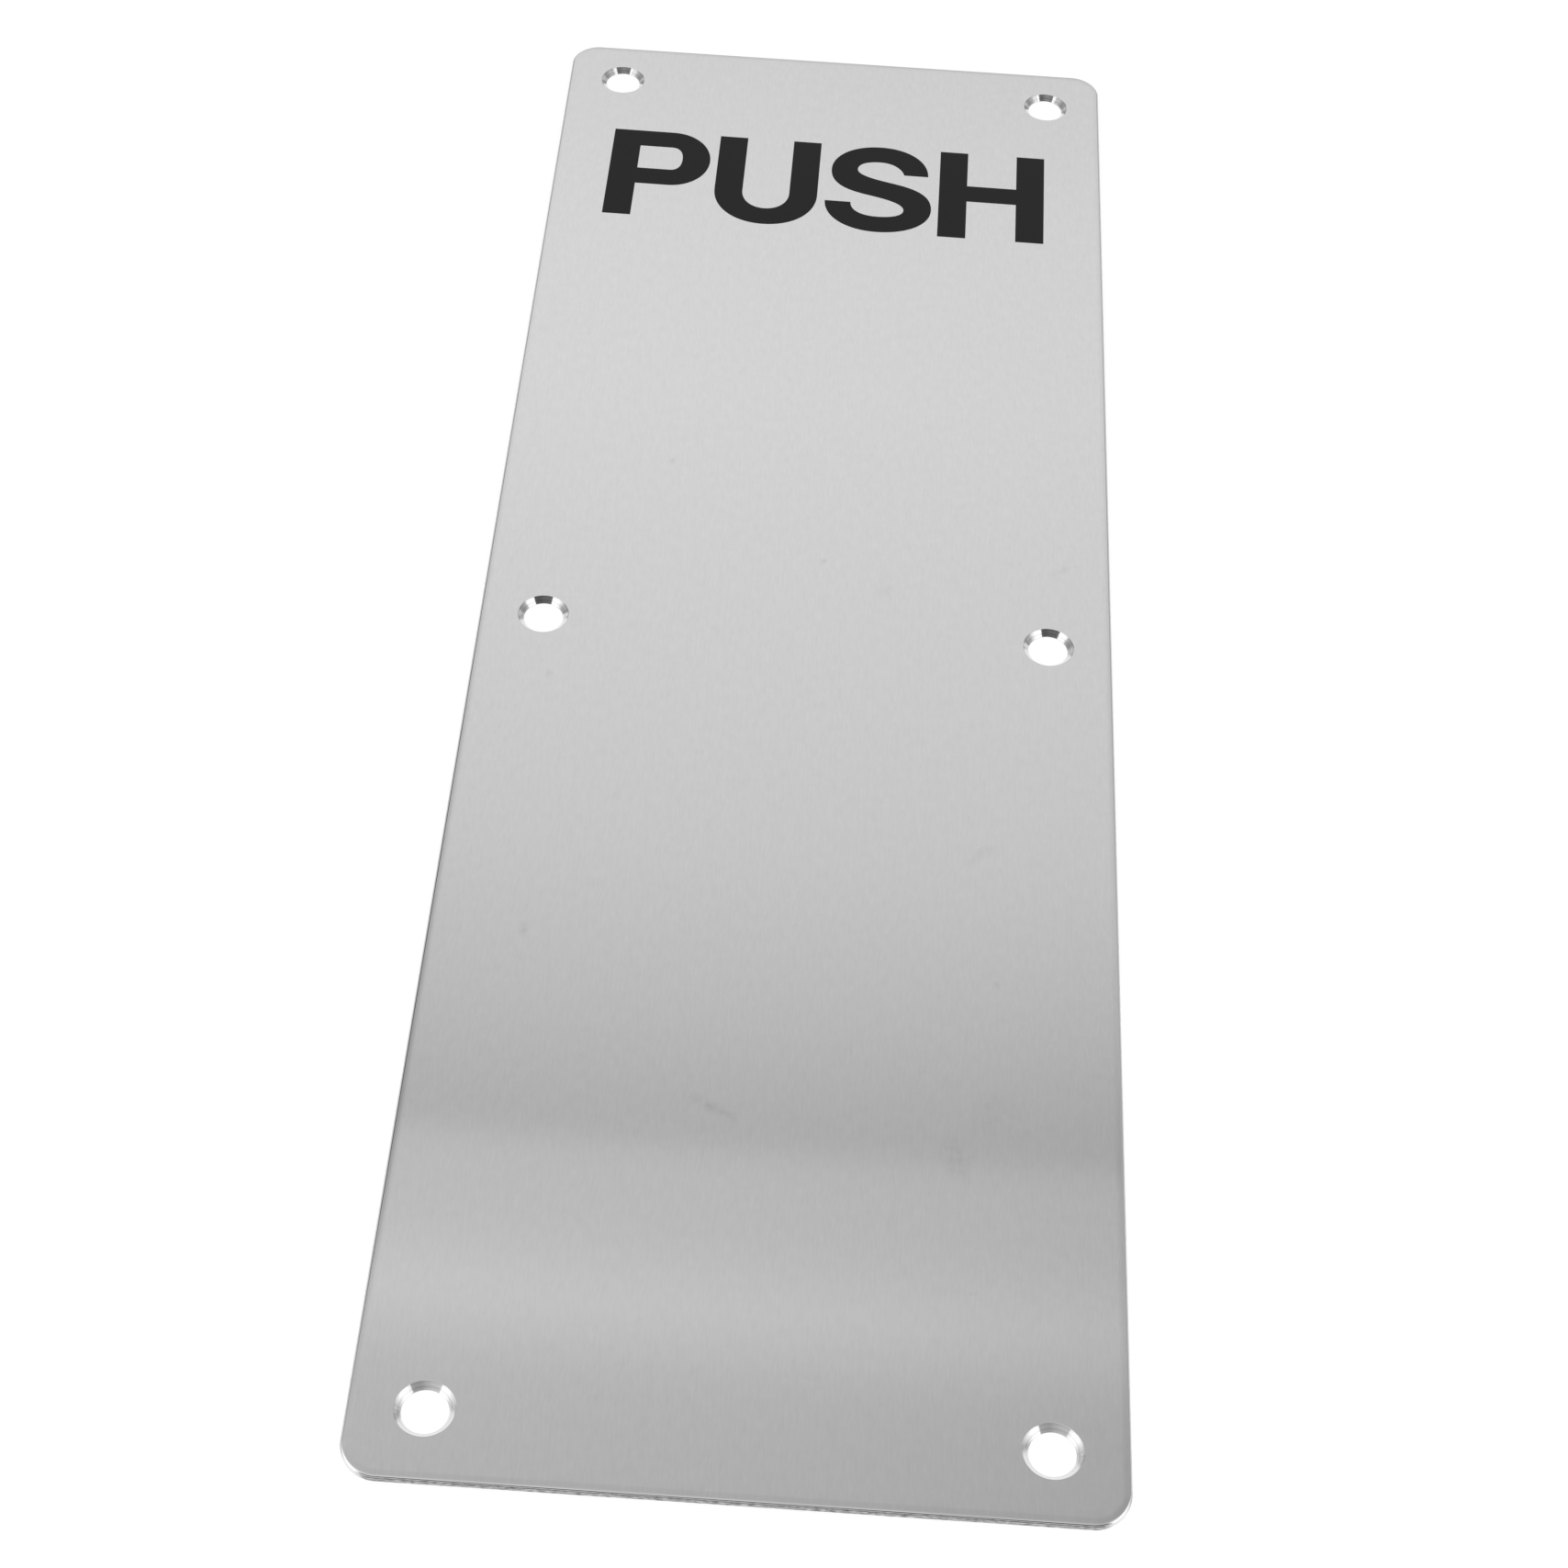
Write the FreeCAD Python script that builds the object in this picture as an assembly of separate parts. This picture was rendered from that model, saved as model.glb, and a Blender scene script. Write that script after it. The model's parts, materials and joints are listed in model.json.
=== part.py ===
import FreeCAD, Part
import math
import os

# Door finger plate: a flat blank of stainless sheet with radiused corners, a front edge rounded all the
# way round, and countersunk screw holes in two columns along the long sides.
# It lies on its back with the front face up. X runs across its width, Y along its length and Z through
# its thickness, and the origin is the middle of the back face. All sizes are in millimetres.

# Blank
plate_length = 300.0
plate_width = 100.0
plate_thickness = 1.0
corner_radius = 5.0
front_edge_radius = 0.4

# Screw holes
hole_diameter = 6.2
hole_inset_from_side = 10.0
hole_inset_from_end = 10.0
holes_per_column = 3

# Countersink: the sloped ring around each hole, and the full angle of its cone
countersink_ring_width = 0.9
countersink_angle = 90.0

up = FreeCAD.Vector(0, 0, 1)


def blank_outline():
    """Closed outline of the blank on the back plane: four corner arcs joined by straight sides."""
    centre_x = plate_width / 2 - corner_radius
    centre_y = plate_length / 2 - corner_radius
    corners = [(1, 1), (-1, 1), (-1, -1), (1, -1)]
    arcs = []
    for quarter, (side_x, side_y) in enumerate(corners):
        circle = Part.Circle(FreeCAD.Vector(side_x * centre_x, side_y * centre_y, 0), up, corner_radius)
        start_angle = quarter * math.pi / 2
        arcs.append(Part.ArcOfCircle(circle, start_angle, start_angle + math.pi / 2))
    edges = []
    for arc, next_arc in zip(arcs, arcs[1:] + arcs[:1]):
        edges.append(arc.toShape())
        edges.append(Part.LineSegment(arc.EndPoint, next_arc.StartPoint).toShape())
    return Part.Wire(edges)


def rounded_blank():
    """The blank at full thickness, with the edge of its front face rounded and its back edge square."""
    blank = Part.Face(blank_outline()).extrude(up * plate_thickness)
    front_face = max(blank.Faces, key=lambda face: face.CenterOfMass.z)
    # However thin the sheet, the rounding stops short of the back face
    radius = min(front_edge_radius, 0.9 * plate_thickness)
    return blank.makeFillet(radius, front_face.Edges)


def countersunk_hole():
    """Cutter for one screw hole on the Z axis: a plain hole that opens into a cone at the front face."""
    hole_radius = hole_diameter / 2
    cone_radius = hole_radius + countersink_ring_width
    cone_depth = countersink_ring_width / math.tan(math.radians(countersink_angle / 2))
    overrun = cone_depth
    profile = [
        (0, -overrun),
        (hole_radius, -overrun),
        (hole_radius, plate_thickness - cone_depth),
        (cone_radius, plate_thickness),
        (cone_radius, plate_thickness + overrun),
        (0, plate_thickness + overrun),
    ]
    points = [FreeCAD.Vector(radius, 0, height) for radius, height in profile]
    section = Part.Face(Part.makePolygon(points + points[:1]))
    return section.revolve(FreeCAD.Vector(0, 0, 0), up, 360)


def hole_places():
    """Hole centres: a column along each long side, evenly spaced between the two ends."""
    column_x = plate_width / 2 - hole_inset_from_side
    end_y = plate_length / 2 - hole_inset_from_end
    pitch = 2 * end_y / (holes_per_column - 1)
    places = []
    for side in (-1, 1):
        for row in range(holes_per_column):
            places.append(FreeCAD.Vector(side * column_x, row * pitch - end_y, 0))
    return places


def finger_plate():
    """The finished plate: the rounded blank with its pattern of countersunk holes cut through."""
    hole = countersunk_hole()
    cutters = [hole.translated(place) for place in hole_places()]
    return rounded_blank().cut(cutters)


os.makedirs("parts", exist_ok=True)
plate = finger_plate()
plate.exportStep("parts/finger_plate.step")
print("finger_plate", "valid" if plate.isValid() else "not valid", round(plate.Volume, 2), "mm3")
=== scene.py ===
import json
import math

import bpy
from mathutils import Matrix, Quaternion, Vector


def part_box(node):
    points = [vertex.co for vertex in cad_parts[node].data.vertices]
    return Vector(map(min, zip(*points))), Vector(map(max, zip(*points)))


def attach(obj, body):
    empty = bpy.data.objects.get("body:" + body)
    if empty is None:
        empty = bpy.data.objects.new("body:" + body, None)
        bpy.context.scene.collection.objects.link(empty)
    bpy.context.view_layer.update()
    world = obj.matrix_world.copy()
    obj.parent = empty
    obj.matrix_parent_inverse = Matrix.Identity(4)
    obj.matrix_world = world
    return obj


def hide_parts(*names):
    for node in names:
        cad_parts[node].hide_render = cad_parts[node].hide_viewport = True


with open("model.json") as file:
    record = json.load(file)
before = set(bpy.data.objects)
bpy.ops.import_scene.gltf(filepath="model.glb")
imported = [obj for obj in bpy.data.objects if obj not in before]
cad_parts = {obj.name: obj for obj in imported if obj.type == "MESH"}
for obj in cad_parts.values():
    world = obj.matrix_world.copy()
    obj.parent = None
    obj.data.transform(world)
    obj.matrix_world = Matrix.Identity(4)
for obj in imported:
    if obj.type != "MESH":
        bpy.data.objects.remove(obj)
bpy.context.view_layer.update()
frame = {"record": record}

mm = 0.001
tiny = 0.002 * mm                                      # closer than this counts as touching
plateLow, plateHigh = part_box("finger_plate")
plateSize = plateHigh - plateLow
faceZ = plateHigh.z                                    # height of the front face
cornerRadius = 5.0 * mm                                # of the plate's outline
cornerScrews = next(m for m in frame["record"]["mounts"] if m["name"] == "corner_screws")["dims"]
holeX = cornerScrews["spacing_x_mm"] * mm / 2          # column of holes, from the middle
holeEndY = cornerScrews["spacing_y_mm"] * mm / 2       # end holes, from the middle
holeRows = 3                                           # along the plate
holePitch = 2 * holeEndY / (holeRows - 1)
holeRadius = cornerScrews["hole_r_mm"] * mm
print("frame: plate", [round(side / mm, 2) for side in plateSize], "mm")


# helpers for working as by hand

def startClean():
    if bpy.context.mode != "OBJECT":
        bpy.ops.object.mode_set(mode="OBJECT")
    bpy.ops.object.select_all(action="DESELECT")


def pickEdges(piece, wanted):
    bpy.ops.object.mode_set(mode="EDIT")
    bpy.ops.mesh.select_mode(type="EDGE")
    bpy.ops.mesh.select_all(action="DESELECT")
    bpy.ops.object.mode_set(mode="OBJECT")
    points = piece.data.vertices
    for edge in piece.data.edges:
        first, second = edge.vertices
        edge.select = wanted(points[first].co, points[second].co)
    bpy.ops.object.mode_set(mode="EDIT")


def applyModifier(piece, kind, **settings):
    bpy.context.view_layer.objects.active = piece
    bpy.ops.object.modifier_add(type=kind)
    modifier = piece.modifiers[-1]
    for name, value in settings.items():
        setattr(modifier, name, value)
    bpy.ops.object.modifier_apply(modifier=modifier.name)


# helpers for materials

def newMaterial(name):
    material = bpy.data.materials.new(name)
    material.use_nodes = True
    tree = material.node_tree
    return material, tree, tree.nodes["Principled BSDF"]


def addNode(tree, kind, inputs=None, **settings):
    node = tree.nodes.new(kind)
    for name, value in settings.items():
        setattr(node, name, value)
    for socket, value in (inputs or {}).items():
        if isinstance(value, bpy.types.NodeSocket):
            tree.links.new(value, node.inputs[socket])
        else:
            node.inputs[socket].default_value = value
    return node


def maths(tree, operation, first, second=0.0, third=0.0):
    return addNode(tree, "ShaderNodeMath", {0: first, 1: second, 2: third}, operation=operation).outputs[0]


def placeOn(tree, scale):                              # pattern cells per metre, along X, Y and Z
    coords = addNode(tree, "ShaderNodeTexCoord").outputs["Object"]
    return addNode(tree, "ShaderNodeMapping", {"Vector": coords, "Scale": scale}).outputs["Vector"]


noiseMiddle = 0.5                                      # mean level of a noise pattern


def noise(tree, scale, detail, roughness=0.5):
    return addNode(tree, "ShaderNodeTexNoise",
                   {"Vector": placeOn(tree, scale), "Scale": 1.0, "Detail": detail, "Roughness": roughness}
                   ).outputs["Fac"]


def smoothStep(tree, value, low, high, first=0.0, last=1.0):
    return addNode(tree, "ShaderNodeMapRange", {"Value": value, 1: low, 2: high, 3: first, 4: last},
                   interpolation_type="SMOOTHSTEP").outputs[0]


def placeParts(tree):
    coords = addNode(tree, "ShaderNodeTexCoord").outputs["Object"]
    return addNode(tree, "ShaderNodeSeparateXYZ", {0: coords}).outputs


def pastSides(tree):                                   # how far a point lies past the straight sides' ends
    place = placeParts(tree)
    endX = plateSize.x / 2 - cornerRadius
    endY = plateSize.y / 2 - cornerRadius
    across = maths(tree, "SUBTRACT", maths(tree, "ABSOLUTE", place["X"]), endX)
    along = maths(tree, "SUBTRACT", maths(tree, "ABSOLUTE", place["Y"]), endY)
    return across, along


# camera, at the photograph's viewing angle

cameraSpec = {
    "place": Vector((2.34, -318.63, 337.15)) * mm,
    "aim": Vector((-0.14, -31.14, 0.0)) * mm,
    "roll": 3.448,                                     # degrees
    "lens": 67.21, "sensor": 36,                       # millimetres
    "nearest": 10 * mm,                                # nothing closer is drawn
}


def makeCamera(spec):
    startClean()
    bpy.ops.object.camera_add(location=spec["place"])
    camera = bpy.context.object
    camera.name = "photoCamera"
    aim = (spec["aim"] - spec["place"]).to_track_quat("-Z", "Y")
    camera.rotation_euler = (aim @ Quaternion((0, 0, 1), math.radians(spec["roll"]))).to_euler()
    camera.data.sensor_width = spec["sensor"]
    camera.data.lens = spec["lens"]
    camera.data.clip_start = spec["nearest"]
    bpy.context.scene.camera = camera


makeCamera(cameraSpec)
print("camera set")


# finishes of the sheet

faceSpec = {
    "colour": 0.645,
    "hairCells": (2800, 420, 1), "hairTone": 0.069,    # short fine scratches of the brushing
    "streakCells": (1500, 60, 1), "streakTone": 0.02,  # longer streaks
    "mottleCells": (620, 480, 1), "mottleTone": 0.055,
    "roughness": 0.085, "streakRough": 0.02, "mottleRough": 0.01,
    "grain": 1.0, "bump": 0.10, "bumpDepth": 0.005 * mm,
    "rollWidth": 1.3 * mm, "rollSlope": 0.16,          # the sheet falls away at its edge
    "markCells": (900, 700, 1), "markTone": 0.05,
    "markBreak": (0.35, 0.65), "markSpread": (0.25, 1.75),    # how far noise breaks the marks up
    # handling marks: middle X and Y, length, width (millimetres), turn (degrees) and strength
    "marks": [
        (-36.0, -62.8, 4.0, 2.0, 100, 1.0), (-6.8, -91.2, 10.0, 2.4, -28, 1.0),
        (27.0, -97.0, 9.0, 5.0, 105, 0.9), (32.0, -89.0, 12.0, 8.0, 60, 0.4),
        (32.5, -67.0, 1.8, 1.5, 0, 1.0), (29.5, -117.8, 1.6, 1.4, 0, 1.0),
        (30.0, -43.0, 9.0, 2.6, 45, 0.7), (3.8, 15.8, 2.2, 1.6, 60, 1.0),
        (14.0, 10.0, 7.0, 5.0, 80, 0.45), (42.0, 17.0, 6.0, 2.2, 35, 0.6),
        (-37.5, -13.0, 3.0, 1.8, 110, 0.8), (-22.5, 37.0, 2.4, 1.6, 80, 0.8),
    ],
}


def handlingMarks(tree, spec):
    coords = addNode(tree, "ShaderNodeTexCoord").outputs["Object"]
    total = 0.0
    for x, y, length, width, turn, strength in spec["marks"]:
        reach = (length / 2 * mm, width / 2 * mm, mm)
        place = addNode(tree, "ShaderNodeMapping",
                        {"Vector": coords, "Location": (x * mm, y * mm, faceZ),
                         "Rotation": (0, 0, math.radians(turn)), "Scale": reach},
                        vector_type="TEXTURE").outputs["Vector"]
        spot = addNode(tree, "ShaderNodeTexGradient", {"Vector": place}, gradient_type="SPHERICAL")
        total = maths(tree, "MULTIPLY_ADD", spot.outputs["Fac"], strength, total)
    low, high = spec["markBreak"]
    least, most = spec["markSpread"]
    broken = addNode(tree, "ShaderNodeMapRange",
                     {"Value": noise(tree, spec["markCells"], detail=3), 1: low, 2: high, 3: least, 4: most})
    return maths(tree, "MULTIPLY", total, broken.outputs[0])


def edgeRoll(tree, spec):                              # 0 on the face, rising to 1 at the outline
    across, along = pastSides(tree)
    outX = maths(tree, "MAXIMUM", across, 0.0)
    outY = maths(tree, "MAXIMUM", along, 0.0)
    squares = maths(tree, "MULTIPLY_ADD", outX, outX, maths(tree, "MULTIPLY", outY, outY))
    inCorner = maths(tree, "SQRT", squares)
    inside = maths(tree, "MINIMUM", maths(tree, "MAXIMUM", across, along), 0.0)
    outward = maths(tree, "ADD", inCorner, inside)
    start = cornerRadius - spec["rollWidth"]
    rise = addNode(tree, "ShaderNodeMapRange",
                   {"Value": outward, 1: start, 2: cornerRadius, 3: 0.0, 4: 1.0}).outputs[0]
    return maths(tree, "MULTIPLY", rise, rise)


def brushedFace(spec):
    material, tree, shader = newMaterial("brushedFace")
    hair = noise(tree, spec["hairCells"], detail=3, roughness=0.6)
    streak = noise(tree, spec["streakCells"], detail=3)
    mottle = noise(tree, spec["mottleCells"], detail=4, roughness=0.6)
    marks = handlingMarks(tree, spec)
    middle = spec["colour"] - (spec["hairTone"] + spec["streakTone"] + spec["mottleTone"]) / 2
    tone = maths(tree, "MULTIPLY_ADD", hair, spec["hairTone"], middle)
    tone = maths(tree, "MULTIPLY_ADD", streak, spec["streakTone"], tone)
    tone = maths(tree, "MULTIPLY_ADD", mottle, spec["mottleTone"], tone)
    tone = maths(tree, "MULTIPLY_ADD", marks, -spec["markTone"], tone)
    rough = maths(tree, "MULTIPLY_ADD", streak, spec["streakRough"], spec["roughness"])
    rough = maths(tree, "MULTIPLY_ADD", mottle, spec["mottleRough"], rough)
    roll = addNode(tree, "ShaderNodeBump",
                   {"Height": edgeRoll(tree, spec), "Strength": 1.0,
                    "Distance": spec["rollSlope"] * spec["rollWidth"] / 2}, invert=True)
    bump = addNode(tree, "ShaderNodeBump",
                   {"Height": hair, "Strength": spec["bump"], "Distance": spec["bumpDepth"],
                    "Normal": roll.outputs["Normal"]})
    across = addNode(tree, "ShaderNodeCombineXYZ", {"X": 1.0, "Y": 0.0, "Z": 0.0})
    tree.links.new(tone, shader.inputs["Base Color"])
    tree.links.new(rough, shader.inputs["Roughness"])
    tree.links.new(bump.outputs["Normal"], shader.inputs["Normal"])
    tree.links.new(across.outputs[0], shader.inputs["Tangent"])
    shader.inputs["Metallic"].default_value = 1.0
    shader.inputs["Anisotropic"].default_value = spec["grain"]
    return material


edgeSpec = {
    "colour": 0.645, "roughness": 0.13,                # polished rounding
    "shadeLineColour": 0.13, "lineTop": 0.835 * mm, "lineSoft": 0.04 * mm,    # painted shade: a dark line along the straight sides, in place of a dark reflection
    "wallColour": 0.37, "wallTop": 0.735 * mm, "wallSoft": 0.05 * mm,    # broken wall below it; its dashes are the torn wall's texture, its darkness is painted shade in place of the shadowed floor it reflects
    "dashCells": (1100, 1100, 2600), "dashTone": 1.2, "waver": 0.14 * mm,
    "dullRough": 0.22, "scoreCells": (4200, 4200, 200), "bump": 0.2, "bumpDepth": 0.006 * mm,
    "cornerHighlightReach": (0.8 * mm, 3.0 * mm), "cornerHighlightColour": 0.80,    # painted highlight: corners lighter than the straight sides, in place of their bright reflections
}


def rolledEdge(spec):
    material, tree, shader = newMaterial("rolledEdge")
    across, along = pastSides(tree)
    # painted highlight: the corners take the lighter colour and lose the dark line and wall
    straight = smoothStep(tree, maths(tree, "MINIMUM", across, along), *spec["cornerHighlightReach"], 1.0, 0.0)
    dashes = maths(tree, "SUBTRACT", noise(tree, spec["dashCells"], detail=2), noiseMiddle)
    height = maths(tree, "MULTIPLY_ADD", dashes, spec["waver"], placeParts(tree)["Z"])
    # painted shade: a dark line and a darker wall band on the straight sides, standing in for dark
    # reflections
    paintedShadeLine = smoothStep(tree, height, spec["lineTop"] - spec["lineSoft"], spec["lineTop"], straight, 0.0)
    wall = smoothStep(tree, height, spec["wallTop"] - spec["wallSoft"], spec["wallTop"], straight, 0.0)
    dashed = maths(tree, "MULTIPLY_ADD", dashes, spec["dashTone"], spec["wallColour"] - spec["shadeLineColour"])
    offCornerHighlight = spec["colour"] - spec["cornerHighlightColour"]
    tone = maths(tree, "MULTIPLY_ADD", straight, offCornerHighlight, spec["cornerHighlightColour"])
    tone = maths(tree, "MULTIPLY_ADD", paintedShadeLine, spec["shadeLineColour"] - spec["colour"], tone)
    tone = maths(tree, "MULTIPLY_ADD", wall, dashed, tone)
    rough = maths(tree, "MULTIPLY_ADD", paintedShadeLine, spec["dullRough"], spec["roughness"])
    bump = addNode(tree, "ShaderNodeBump",
                   {"Height": noise(tree, spec["scoreCells"], detail=3), "Strength": spec["bump"],
                    "Distance": spec["bumpDepth"]})
    tree.links.new(tone, shader.inputs["Base Color"])
    tree.links.new(rough, shader.inputs["Roughness"])
    tree.links.new(bump.outputs["Normal"], shader.inputs["Normal"])
    shader.inputs["Metallic"].default_value = 1.0
    return material


sinkSpec = {
    # painted highlight: the countersinks' colour is lighter than the face's steel, to brighten their
    # reflections; the rings are the turning's own marks
    "colour": 0.74, "ringCells": 4200, "ringTone": 0.28,
    "roughness": 0.13, "grain": 0.8, "bump": 0.35, "bumpDepth": 0.008 * mm,
}


def turnedSink(spec):
    material, tree, shader = newMaterial("turnedSink")
    place = placeParts(tree)
    fromColumn = maths(tree, "SUBTRACT", maths(tree, "ABSOLUTE", place["X"]), holeX)
    outOfColumn = maths(tree, "MULTIPLY", fromColumn, maths(tree, "SIGN", place["X"]))
    fromRow = maths(tree, "WRAP", place["Y"], holePitch / 2, -holePitch / 2)
    squares = maths(tree, "MULTIPLY_ADD", fromRow, fromRow, maths(tree, "MULTIPLY", fromColumn, fromColumn))
    radius = maths(tree, "SQRT", squares)
    rings = addNode(tree, "ShaderNodeTexNoise",
                    {"W": maths(tree, "MULTIPLY", radius, spec["ringCells"]), "Scale": 1.0, "Detail": 2.0},
                    noise_dimensions="1D").outputs["Fac"]
    # painted highlight: rings round a colour lighter than the face's steel
    tone = maths(tree, "MULTIPLY_ADD", rings, spec["ringTone"], spec["colour"] - spec["ringTone"] / 2)
    bump = addNode(tree, "ShaderNodeBump",
                   {"Height": rings, "Strength": spec["bump"], "Distance": spec["bumpDepth"]})
    slope = addNode(tree, "ShaderNodeCombineXYZ", {"X": outOfColumn, "Y": fromRow, "Z": 0.0})
    tree.links.new(tone, shader.inputs["Base Color"])
    tree.links.new(bump.outputs["Normal"], shader.inputs["Normal"])
    tree.links.new(slope.outputs[0], shader.inputs["Tangent"])
    shader.inputs["Metallic"].default_value = 1.0
    shader.inputs["Roughness"].default_value = spec["roughness"]
    shader.inputs["Anisotropic"].default_value = spec["grain"]
    return material


backSpec = {"colour": 0.58, "tone": 0.05, "cells": (500, 60, 1), "roughness": 0.34, "roughSpread": 0.08}


def millBack(spec):
    material, tree, shader = newMaterial("millBack")
    grain = noise(tree, spec["cells"], detail=5, roughness=0.6)
    tone = maths(tree, "MULTIPLY_ADD", grain, spec["tone"], spec["colour"] - spec["tone"] / 2)
    rough = maths(tree, "MULTIPLY_ADD", grain, spec["roughSpread"], spec["roughness"])
    tree.links.new(tone, shader.inputs["Base Color"])
    tree.links.new(rough, shader.inputs["Roughness"])
    shader.inputs["Metallic"].default_value = 1.0
    return material


# the plate itself, with rounder curves than the frame's mesh

plateSpec = {
    "cornerSegments": 24,
    "edgeRadius": 0.4 * mm, "edgeSegments": 8,         # rounding of the front edge
    "coneWidth": 0.9 * mm, "coneDepth": 0.9 * mm, "holeSegments": 128,
    "rimBreak": 0.02 * mm,                             # softened rim of a countersink
    "cell": 7.0 * mm,                                  # half of the square cut round a hole
    "smoothAngle": 15,                                 # degrees
    "flat": 0.999,                                     # least upright part of a level face's normal
}


def countersinkCutter(spec):
    over = plateSize.z
    coneRadius = holeRadius + spec["coneWidth"]
    rings = [                                          # radius and height, from below the back upwards
        (holeRadius, -over),
        (holeRadius, faceZ - spec["coneDepth"]),
        (coneRadius - spec["rimBreak"], faceZ - spec["rimBreak"]),
        (coneRadius + spec["rimBreak"], faceZ),
        (coneRadius + spec["rimBreak"], faceZ + over),
    ]
    startClean()
    bpy.ops.mesh.primitive_circle_add(vertices=spec["holeSegments"], radius=holeRadius, fill_type="NGON",
                                      enter_editmode=True)
    cutter = bpy.context.object
    start = (-holeX, -holeEndY, rings[0][1])
    bpy.ops.transform.translate(value=start)
    for (radius, height), (nextRadius, nextHeight) in zip(rings, rings[1:]):
        bpy.ops.mesh.extrude_region_move(TRANSFORM_OT_translate={"value": (0, 0, nextHeight - height)})
        grow = nextRadius / radius
        bpy.ops.transform.resize(value=(grow, grow, 1), center_override=(start[0], start[1], nextHeight))
    bpy.ops.mesh.select_all(action="SELECT")
    bpy.ops.mesh.normals_make_consistent(inside=False)
    bpy.ops.object.mode_set(mode="OBJECT")
    applyModifier(cutter, "ARRAY", count=2, use_relative_offset=False, use_constant_offset=True,
                  constant_offset_displace=(2 * holeX, 0, 0))
    applyModifier(cutter, "ARRAY", count=holeRows, use_relative_offset=False, use_constant_offset=True,
                  constant_offset_displace=(0, holePitch, 0))
    return cutter


def nearHole(point):
    fromRow = min(abs(point.y - row * holePitch + holeEndY) for row in range(holeRows))
    return math.hypot(abs(point.x) - holeX, fromRow)


def makePlate(spec):
    startClean()
    bpy.ops.mesh.primitive_cube_add(size=1, enter_editmode=True)
    plate = bpy.context.object
    plate.name = "brushedPlate"
    bpy.ops.transform.resize(value=plateSize, center_override=(0, 0, 0))
    bpy.ops.transform.translate(value=(0, 0, plateSize.z / 2))
    pickEdges(plate, lambda a, b: abs(a.z - b.z) > tiny)
    bpy.ops.mesh.bevel(offset=cornerRadius, segments=spec["cornerSegments"], affect="EDGES")
    pickEdges(plate, lambda a, b: min(a.z, b.z) > faceZ - tiny)
    bpy.ops.mesh.bevel(offset=spec["edgeRadius"], segments=spec["edgeSegments"], affect="EDGES")
    for side in (-1, 1):                               # a square of its own round each hole
        for edge in (-spec["cell"], spec["cell"]):
            bpy.ops.mesh.select_all(action="SELECT")
            bpy.ops.mesh.bisect(plane_co=(side * holeX + edge, 0, 0), plane_no=(1, 0, 0))
    for row in range(holeRows):
        for edge in (-spec["cell"], spec["cell"]):
            bpy.ops.mesh.select_all(action="SELECT")
            bpy.ops.mesh.bisect(plane_co=(0, row * holePitch - holeEndY + edge, 0), plane_no=(0, 1, 0))
    bpy.ops.object.mode_set(mode="OBJECT")
    cutter = countersinkCutter(spec)
    startClean()
    plate.select_set(True)
    applyModifier(plate, "BOOLEAN", operation="DIFFERENCE", solver="EXACT", object=cutter)
    bpy.data.objects.remove(cutter)

    finishes = [brushedFace(faceSpec), rolledEdge(edgeSpec), turnedSink(sinkSpec), millBack(backSpec)]
    onFace, onEdge, onSink, onBack = range(len(finishes))
    for material in finishes:
        plate.data.materials.append(material)
    sinkReach = holeRadius + spec["coneWidth"] + 2 * spec["rimBreak"]
    for face in plate.data.polygons:
        if nearHole(face.center) < sinkReach and abs(face.normal.z) < spec["flat"]:
            face.material_index = onSink
        elif face.normal.z > spec["flat"]:
            face.material_index = onFace
        elif face.normal.z < -spec["flat"]:
            face.material_index = onBack
        else:
            face.material_index = onEdge
    bpy.ops.object.shade_smooth_by_angle(angle=math.radians(spec["smoothAngle"]))
    applyModifier(plate, "WEIGHTED_NORMAL", weight=100, keep_sharp=True)
    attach(plate, "root")
    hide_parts("finger_plate")
    return plate


plate = makePlate(plateSpec)
print("plate:", len(plate.data.polygons), "faces")


# the printed word, in plain bold capitals

printSpec = {"colour": 0.010, "tone": 0.005, "roughness": 0.5, "shine": 0.20,
             "hairCells": (2800, 420, 1), "bump": 0.1, "bumpDepth": 0.004 * mm}


def blackPrint(spec):
    material, tree, shader = newMaterial("blackPrint")
    hair = noise(tree, spec["hairCells"], detail=4, roughness=0.65)
    tone = maths(tree, "MULTIPLY_ADD", hair, spec["tone"], spec["colour"] - spec["tone"] / 2)
    bump = addNode(tree, "ShaderNodeBump",
                   {"Height": hair, "Strength": spec["bump"], "Distance": spec["bumpDepth"]})
    tree.links.new(tone, shader.inputs["Base Color"])
    tree.links.new(bump.outputs["Normal"], shader.inputs["Normal"])
    shader.inputs["Roughness"].default_value = spec["roughness"]
    shader.inputs["Specular IOR Level"].default_value = spec["shine"]
    return material


wordSpec = {
    "base": 99.95, "height": 24.55, "stem": 5.1, "bar": 4.4,    # millimetres on the plate
    "turn": -0.55,                                     # degrees, as printed
    "film": 0.03, "sunk": 0.01,                        # height over the face and depth in it
    "curveSteps": 24,
}


def corner(x, y, back=(0, 0), ahead=(0, 0)):
    return {"at": (x, y), "back": back, "ahead": ahead}


def bend(x, y, toX, toY, back, ahead):                 # a smooth point, heading along (toX, toY)
    length = math.hypot(toX, toY)
    behind = (-toX * back / length, -toY * back / length)
    onward = (toX * ahead / length, toY * ahead / length)
    return corner(x, y, behind, onward)


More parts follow.
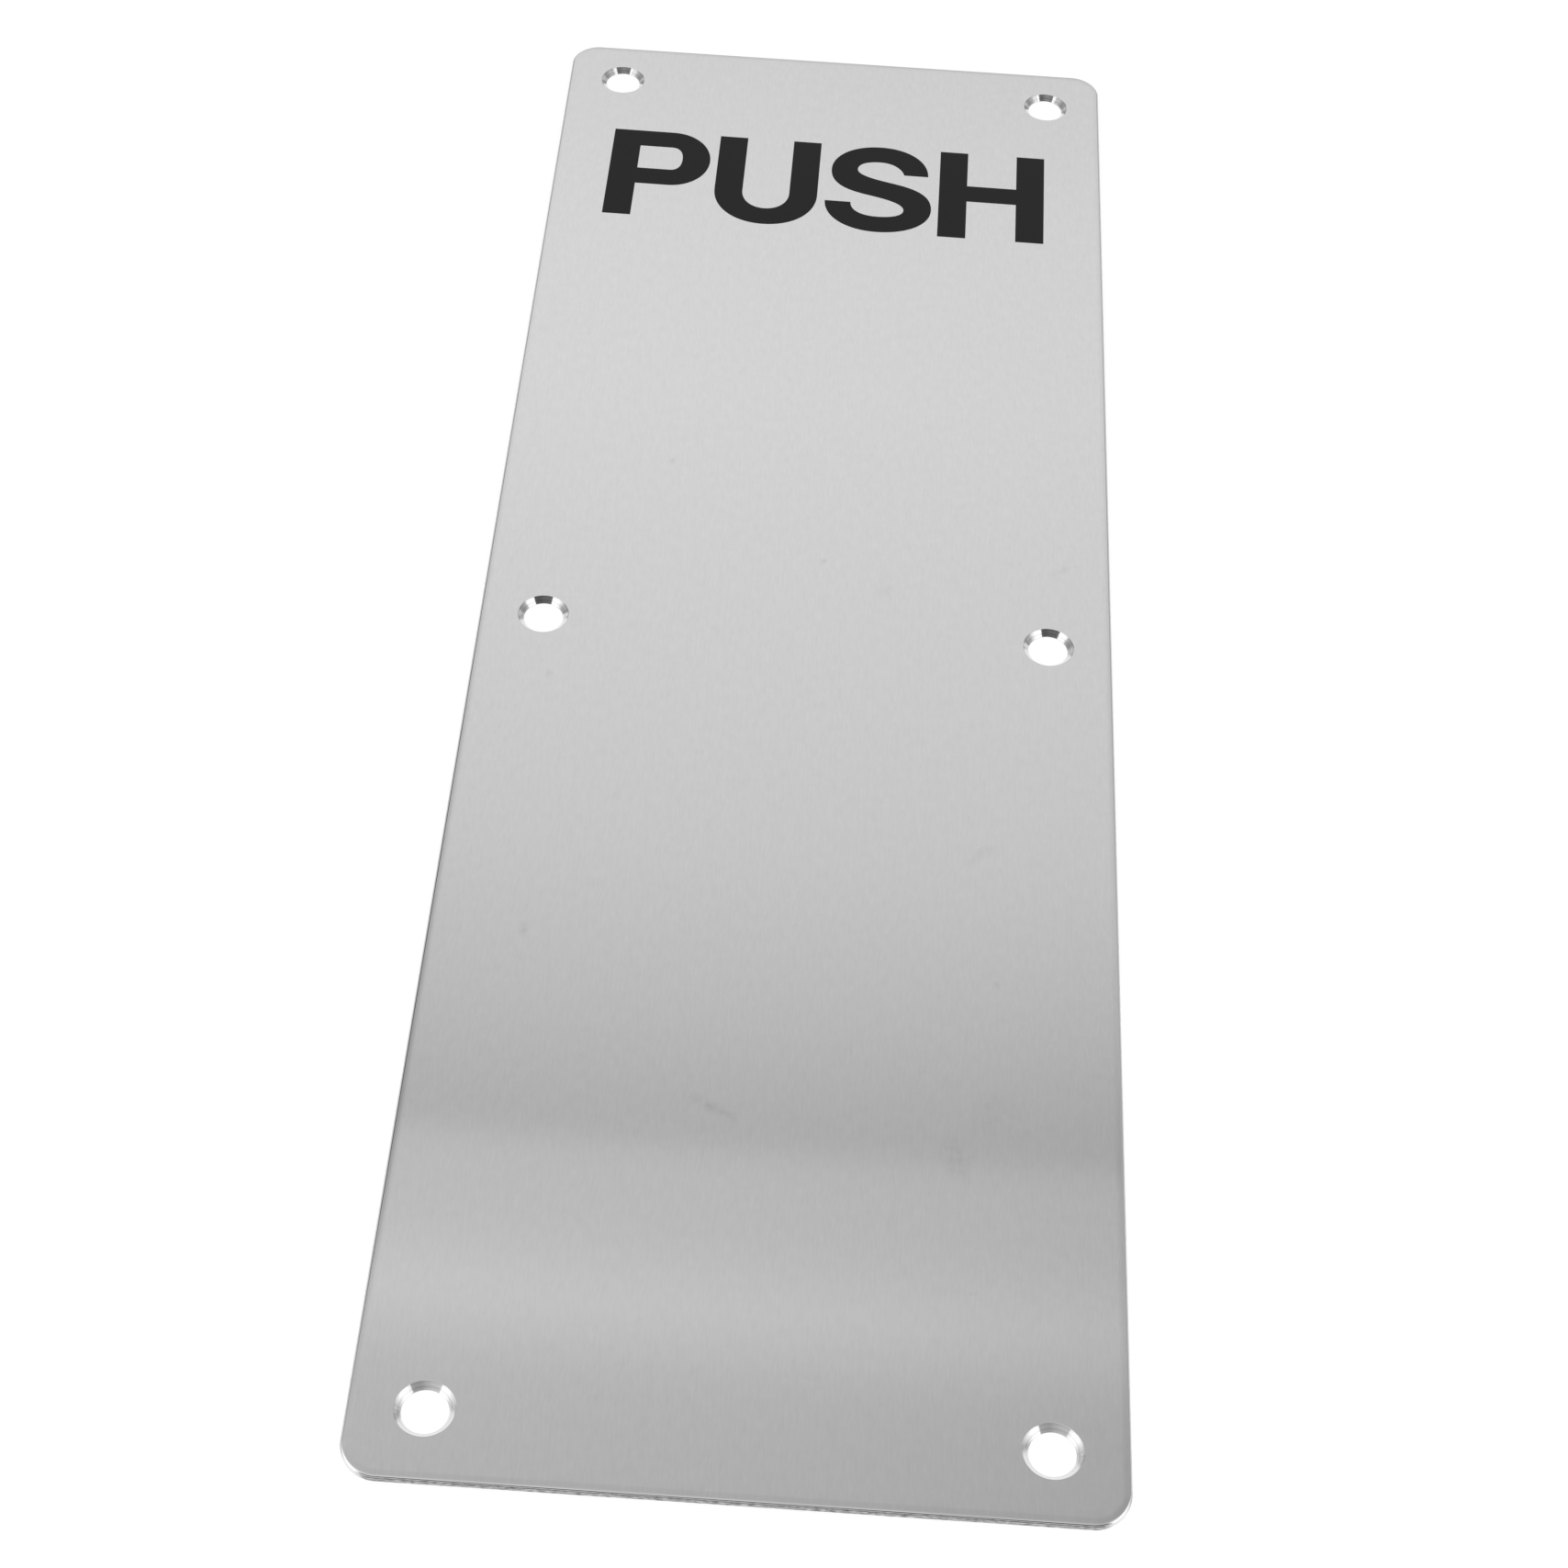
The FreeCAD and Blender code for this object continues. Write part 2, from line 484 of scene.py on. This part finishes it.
def letterP(spec):
    top, stem, bar = spec["height"], spec["stem"], spec["bar"]
    width, bowl, straight = 18.25, 15.4, 11.0
    roundness, squarer = 0.56, 1.3                     # fullness of the bowl, and more of it inside
    mid, low = top - bowl / 2, top - bowl
    reach, half = width - straight, bowl / 2
    inner, innerHalf = reach - stem, half - bar
    innerPull = inner * roundness * squarer
    outline = [
        corner(0, 0), corner(stem, 0), corner(stem, low),
        bend(straight, low, 1, 0, 0, reach * roundness),
        bend(width, mid, 0, 1, half * roundness, half * roundness),
        bend(straight, top, -1, 0, reach * roundness, 0), corner(0, top),
    ]
    counter = [
        corner(stem, low + bar), corner(stem, top - bar),
        bend(straight, top - bar, 1, 0, 0, innerPull),
        bend(width - stem, mid, 0, -1, innerHalf * roundness, innerHalf * roundness),
        bend(straight, low + bar, -1, 0, innerPull, 0),
    ]
    return [outline, counter]


def letterU(spec):
    top, stem, bar = spec["height"], spec["stem"], spec["bar"]
    width, spring, roundness = 18.75, 9.1, 0.58
    mid = width / 2
    inner = mid - stem
    outline = [
        corner(0, top), bend(0, spring, 0, -1, 0, spring * roundness),
        bend(mid, 0, 1, 0, mid * roundness, mid * roundness),
        bend(width, spring, 0, 1, spring * roundness, 0), corner(width, top), corner(width - stem, top),
        bend(width - stem, spring, 0, -1, 0, (spring - bar) * roundness),
        bend(mid, bar, -1, 0, inner * roundness, inner * roundness),
        bend(stem, spring, 0, 1, (spring - bar) * roundness, 0), corner(stem, top),
    ]
    return [outline]


def letterS(spec):
    top, bar = spec["height"], spec["bar"]
    width, mid, slope = 19.3, 9.6, 0.27
    outline = [
        corner(18.5, 16.8, ahead=(0, 4.4)), bend(mid, top, -1, 0, 5.2, 5.3),
        bend(0.7, 17.2, 0, -1, 4.1, 3.9), bend(7.2, 10.55, 1, -slope, 4.0, 2.9),
        bend(14.3, 6.6, 0, -1, 2.2, 1.6), bend(mid, bar - 0.1, -1, 0, 2.6, 2.9),
        corner(4.6, 8.0, back=(0, -2.4)), corner(-0.1, 8.0, ahead=(0, -4.6)),
        bend(mid, 0, 1, 0, 5.6, 5.6), bend(width, 7.2, 0, 1, 4.2, 4.2),
        bend(12.2, 14.1, -1, slope, 4.4, 3.0), bend(5.5, 17.7, 0, 1, 1.9, 1.6),
        bend(mid, top - bar, 1, 0, 2.5, 2.6), corner(14.1, 16.8, back=(-0.4, 1.6)),
    ]
    return [outline]


def letterH(spec):
    top, stem, bar = spec["height"], spec["stem"], spec["bar"]
    width, low = 19.2, 10.55
    outline = [
        corner(0, 0), corner(stem, 0), corner(stem, low), corner(width - stem, low),
        corner(width - stem, 0), corner(width, 0), corner(width, top), corner(width - stem, top),
        corner(width - stem, low + bar), corner(stem, low + bar), corner(stem, top), corner(0, top),
    ]
    return [outline]


def makeLetter(name, outlines, left, spec, material):
    startClean()
    curve = bpy.data.curves.new(name, "CURVE")
    curve.dimensions = "2D"
    curve.fill_mode = "BOTH"
    curve.resolution_u = spec["curveSteps"]
    curve.extrude = (spec["film"] + spec["sunk"]) / 2 * mm
    for outline in outlines:
        spline = curve.splines.new("BEZIER")
        spline.bezier_points.add(len(outline) - 1)
        spline.use_cyclic_u = True
        for point, made in zip(outline, spline.bezier_points):
            at = Vector((*point["at"], 0))
            made.handle_left_type = made.handle_right_type = "FREE"
            made.co = at * mm
            made.handle_left = (at + Vector((*point["back"], 0))) * mm
            made.handle_right = (at + Vector((*point["ahead"], 0))) * mm
    letter = bpy.data.objects.new(name, curve)
    bpy.context.collection.objects.link(letter)
    letter.select_set(True)
    bpy.context.view_layer.objects.active = letter
    bpy.ops.object.convert(target="MESH")
    letter = bpy.context.object
    bpy.ops.object.mode_set(mode="EDIT")
    bpy.ops.mesh.select_all(action="SELECT")
    bpy.ops.mesh.remove_doubles(threshold=tiny)
    bpy.ops.mesh.normals_make_consistent(inside=False)
    bpy.ops.object.mode_set(mode="OBJECT")
    turn = Quaternion((0, 0, 1), math.radians(spec["turn"]))
    middle = Vector((0, spec["base"] + spec["height"] / 2, 0))
    at = middle + turn @ (Vector((left, spec["base"], 0)) - middle)
    letter.rotation_euler = turn.to_euler()
    letter.location = (at.x * mm, at.y * mm, faceZ + (spec["film"] - spec["sunk"]) / 2 * mm)
    bpy.ops.object.transform_apply(location=True, rotation=True, scale=True)
    letter.data.materials.append(material)
    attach(letter, "root")
    return letter


ink = blackPrint(printSpec)
letters = [                                            # each with its left edge in millimetres
    ("letterP", letterP, -40.15), ("letterU", letterU, -20.5),
    ("letterS", letterS, -0.2), ("letterH", letterH, 20.4),
]
for name, draw, left in letters:
    makeLetter(name, draw(wordSpec), left, wordSpec, ink)
print("word:", len(letters), "letters")


# floor and lit tent

floorSpec = {"size": 12.0, "below": 0.02 * mm, "colour": 0.4, "glow": 0.76}


def makeFloor(spec):
    startClean()
    bpy.ops.mesh.primitive_plane_add(size=spec["size"], location=(0, 0, -spec["below"]))
    floor = bpy.context.object
    floor.name = "paleFloor"
    material, tree, shader = newMaterial("paleFloor")
    tree.nodes.remove(shader)
    path = addNode(tree, "ShaderNodeLightPath").outputs
    seen = maths(tree, "MAXIMUM", path["Is Camera Ray"], path["Is Glossy Ray"])
    seen = maths(tree, "MAXIMUM", seen, path["Is Transmission Ray"])
    matt = addNode(tree, "ShaderNodeBsdfDiffuse", {"Color": (spec["colour"],) * 3 + (1,)})
    glow = addNode(tree, "ShaderNodeEmission", {"Strength": maths(tree, "MULTIPLY", seen, spec["glow"])})
    both = addNode(tree, "ShaderNodeAddShader", {0: matt.outputs[0], 1: glow.outputs[0]})
    clear = addNode(tree, "ShaderNodeBsdfTransparent")
    under = addNode(tree, "ShaderNodeNewGeometry").outputs["Backfacing"]
    mixed = addNode(tree, "ShaderNodeMixShader", {0: under, 1: both.outputs[0], 2: clear.outputs[0]})
    tree.links.new(mixed.outputs[0], tree.nodes["Material Output"].inputs["Surface"])
    floor.data.materials.append(material)


cardSpec = {
    "side": 0.33,                                      # metres from the middle, standing beside the near half
    # near end, far end and height of each panel
    "panels": [("Card", -0.364, 0.01, 0.42), ("Foot", 0.01, 0.09, 0.07), ("Toe", -0.40, -0.364, 0.20)],
    "fade": (-0.36, -0.08), "glow": (1.4, 0.80),       # brightness falls off along and down them
    "endFade": (-0.04, 0.015), "endFoot": (0.06, 0.14), "endGlow": 0.56,    # soft far end, above its foot
}


def makeCards(spec):
    material, tree, shader = newMaterial("sideCard")
    tree.nodes.remove(shader)
    place = placeParts(tree)
    fade = smoothStep(tree, maths(tree, "SUBTRACT", place["Y"], place["Z"]), *spec["fade"], *spec["glow"])
    end = maths(tree, "MULTIPLY", smoothStep(tree, place["Y"], *spec["endFade"]),
                smoothStep(tree, place["Z"], *spec["endFoot"]))
    level = addNode(tree, "ShaderNodeMix", {0: end, 2: fade, 3: spec["endGlow"]}).outputs[0]
    glow = addNode(tree, "ShaderNodeEmission", {"Strength": level})
    tree.links.new(glow.outputs[0], tree.nodes["Material Output"].inputs["Surface"])
    for kind, near, far, height in spec["panels"]:
        for side, hand in ((-1, "left"), (1, "right")):
            startClean()
            middle = (side * spec["side"], (near + far) / 2, height / 2)
            bpy.ops.mesh.primitive_plane_add(size=1, location=middle, rotation=(0, math.pi / 2, 0))
            card = bpy.context.object
            card.name = hand + kind
            card.scale = (height, far - near, 1)
            bpy.ops.object.transform_apply(location=True, rotation=True, scale=True)
            card.data.materials.append(material)
            card.visible_camera = False                # it shows only in the metal


tentSpec = {
    # brightness by angle from the far horizon, which the face shows as bands
    "far": [(0, 0.30), (14, 0.45), (22, 0.75), (28, 0.87), (36, 0.955), (39, 1.005), (42, 1.01),
            (45.5, 0.96), (48, 0.925), (51, 0.865), (54, 0.752), (56.4, 0.627), (57.2, 0.625), (58.4, 0.628),
            (59.9, 0.710), (60.3, 0.693), (60.6, 0.613), (61.4, 0.571), (63.4, 0.546), (66, 0.513),
            (74, 0.504), (82, 0.655), (90, 0.756), (180, 0.756)],
    "step": (56.6, 56.85), "stepUp": 1.195,            # a sharp rise between two of the bands
    "bandBend": 14.0, "bandReach": 0.15,               # keeps the bands straight across the face
    # brightness by height over the near horizon, which the countersinks show
    "near": [(0, 0.93), (12, 0.83), (21, 0.625), (25, 0.565), (30, 0.54), (34, 0.32), (38, 0.115),
             (44, 0.095), (48, 0.14), (54, 0.165), (56.5, 0.30), (59, 0.72), (64, 0.89), (90, 0.92)],
    "turnOver": 0.2,                                   # where the far half gives way to the near half
    "tilt": (0.2, 0.5), "tiltFrom": 52, "tiltTo": 60,  # how much brighter the left is than the right
    "tiltReach": 0.3,
    "rightFall": 4.0, "fallFrom": (50, 56),            # and how it drops further right of the middle
    # share of that brightness left at each side, by angle from the far horizon
    "sides": (0.14, 0.50),
    "left": [(0, 0.55), (40, 0.50), (45, 0.40), (49.5, 0.06), (58, 0.06), (61.5, 0.70), (64, 1.0),
             (180, 1.0)],
    "right": [(0, 0.60), (49, 0.60), (54, 1.0), (180, 1.0)],
    "leftLow": (0.42, 0.54), "leftOut": (0.42, 0.56), "leftShare": 0.45,    # lighter low down on the left
    # brightness out at the sides, by angle from the far horizon, and its soft start
    "flank": [(0, 0.56), (36, 0.65), (53, 0.66), (57, 0.55), (61, 0.39), (66, 0.335), (72, 0.37), (79, 0.40),
              (84, 0.50), (93, 0.52), (180, 0.82)],
    "flankFrom": (56, 60), "flankEdge": (0.68, 0.82),
    "skirt": (0.14, 0.28), "skirtFrom": (0.3, 0.6), "skirtTo": (60, 66),    # bright foot of the tent
    # bright wings high on each side of the camera: inner edge and foot in degrees, lean, soft outer edge
    "wingFrom": (47, 48), "wingFoot": (21, 27), "wingLean": 0.85, "wingTo": (0.29, 0.43), "wing": 1.4,
}


halfTurn = 180                                         # degrees from the far horizon to the near one
quarterTurn = 90                                       # degrees from a horizon straight up


def bandRamp(tree, degrees, bands, full):
    ramp = addNode(tree, "ShaderNodeValToRGB", {"Fac": maths(tree, "DIVIDE", degrees, full)})
    stops = ramp.color_ramp.elements
    while len(stops) < len(bands):
        stops.new(1.0)
    for stop, (angle, level) in zip(stops, bands):
        stop.position = angle / full
    for stop, (angle, level) in zip(stops, bands):
        stop.color = (level, level, level, 1)
    return ramp.outputs["Color"]


def makeTent(spec):
    world = bpy.data.worlds.new("studioTent")
    bpy.context.scene.world = world
    world.use_nodes = True
    tree = world.node_tree
    way = addNode(tree, "ShaderNodeTexCoord").outputs["Generated"]
    way = addNode(tree, "ShaderNodeSeparateXYZ", {0: way}).outputs
    sideways = maths(tree, "ABSOLUTE", way["X"])
    fromFar = maths(tree, "DEGREES", maths(tree, "ARCCOSINE", way["Y"]))
    height = maths(tree, "DEGREES", maths(tree, "ARCSINE", way["Z"]))
    offMiddle = maths(tree, "MINIMUM", sideways, spec["bandReach"])
    offMiddle = maths(tree, "MULTIPLY", offMiddle, offMiddle)
    bandAngle = maths(tree, "MULTIPLY_ADD", offMiddle, -spec["bandBend"], fromFar)
    far = bandRamp(tree, bandAngle, spec["far"], halfTurn)
    far = maths(tree, "MULTIPLY", far, smoothStep(tree, bandAngle, *spec["step"], 1.0, spec["stepUp"]))
    near = bandRamp(tree, height, spec["near"], quarterTurn)
    turned = smoothStep(tree, way["Y"], 0.0, -spec["turnOver"])
    bands = addNode(tree, "ShaderNodeMix", {0: turned, 2: far, 3: near}).outputs[0]

    tilt = smoothStep(tree, fromFar, spec["tiltFrom"], spec["tiltTo"], *spec["tilt"])
    reach = maths(tree, "MINIMUM", maths(tree, "MAXIMUM", way["X"], -spec["tiltReach"]), spec["tiltReach"])
    leftward = maths(tree, "SUBTRACT", 1.0, maths(tree, "MULTIPLY", reach, tilt))
    toRight = maths(tree, "GREATER_THAN", way["X"], 0.0)
    fall = smoothStep(tree, fromFar, *spec["fallFrom"], 0.0, spec["rightFall"])
    fall = maths(tree, "MULTIPLY", maths(tree, "MULTIPLY", fall, toRight), offMiddle)
    leftward = maths(tree, "SUBTRACT", leftward, fall)
    low = maths(tree, "MULTIPLY", smoothStep(tree, way["Z"], *spec["leftLow"], spec["leftShare"], 0.0),
                smoothStep(tree, sideways, *spec["leftOut"]))
    left = maths(tree, "MAXIMUM", bandRamp(tree, fromFar, spec["left"], halfTurn), low)
    right = bandRamp(tree, fromFar, spec["right"], halfTurn)
    side = addNode(tree, "ShaderNodeMix", {0: toRight, 2: left, 3: right}).outputs[0]
    sides = smoothStep(tree, sideways, *spec["sides"], 1.0, side)
    level = maths(tree, "MULTIPLY", maths(tree, "MULTIPLY", bands, leftward), sides)
    flankLevel = bandRamp(tree, fromFar, spec["flank"], halfTurn)
    flank = maths(tree, "MULTIPLY", smoothStep(tree, fromFar, *spec["flankFrom"]),
                  smoothStep(tree, sideways, *spec["flankEdge"]))
    level = addNode(tree, "ShaderNodeMix", {0: flank, 2: level, 3: flankLevel}).outputs[0]
    foot = maths(tree, "MULTIPLY", smoothStep(tree, way["Z"], *spec["skirt"], 1.0, 0.0),
                 smoothStep(tree, sideways, *spec["skirtFrom"]))
    foot = maths(tree, "MULTIPLY", foot, smoothStep(tree, fromFar, *spec["skirtTo"], 1.0, 0.0))
    level = addNode(tree, "ShaderNodeMix", {0: foot, 2: level, 3: flankLevel}).outputs[0]

    turn = maths(tree, "DEGREES", maths(tree, "ARCTAN2", sideways, maths(tree, "MULTIPLY", way["Y"], -1.0)))
    outward = maths(tree, "MULTIPLY_ADD", way["Z"], spec["wingLean"], way["Y"])
    wing = maths(tree, "MULTIPLY", smoothStep(tree, turn, *spec["wingFrom"]),
                 smoothStep(tree, outward, *spec["wingTo"], 1.0, 0.0))
    wing = maths(tree, "MULTIPLY", wing, smoothStep(tree, height, *spec["wingFoot"]))
    level = addNode(tree, "ShaderNodeMix", {0: wing, 2: level, 3: spec["wing"]}).outputs[0]

    path = addNode(tree, "ShaderNodeLightPath").outputs
    lit = tree.nodes["Background"]
    tree.links.new(level, lit.inputs["Strength"])
    lit.inputs["Color"].default_value = (1, 1, 1, 1)
    white = addNode(tree, "ShaderNodeBackground", {"Color": (1, 1, 1, 1), "Strength": 1.0})
    mixed = addNode(tree, "ShaderNodeMixShader",
                    {0: path["Is Camera Ray"], 1: lit.outputs[0], 2: white.outputs[0]})
    tree.links.new(mixed.outputs[0], tree.nodes["World Output"].inputs["Surface"])


makeFloor(floorSpec)
makeCards(cardSpec)
makeTent(tentSpec)
bpy.context.scene.view_settings.view_transform = "Standard"
print("stage and light set")
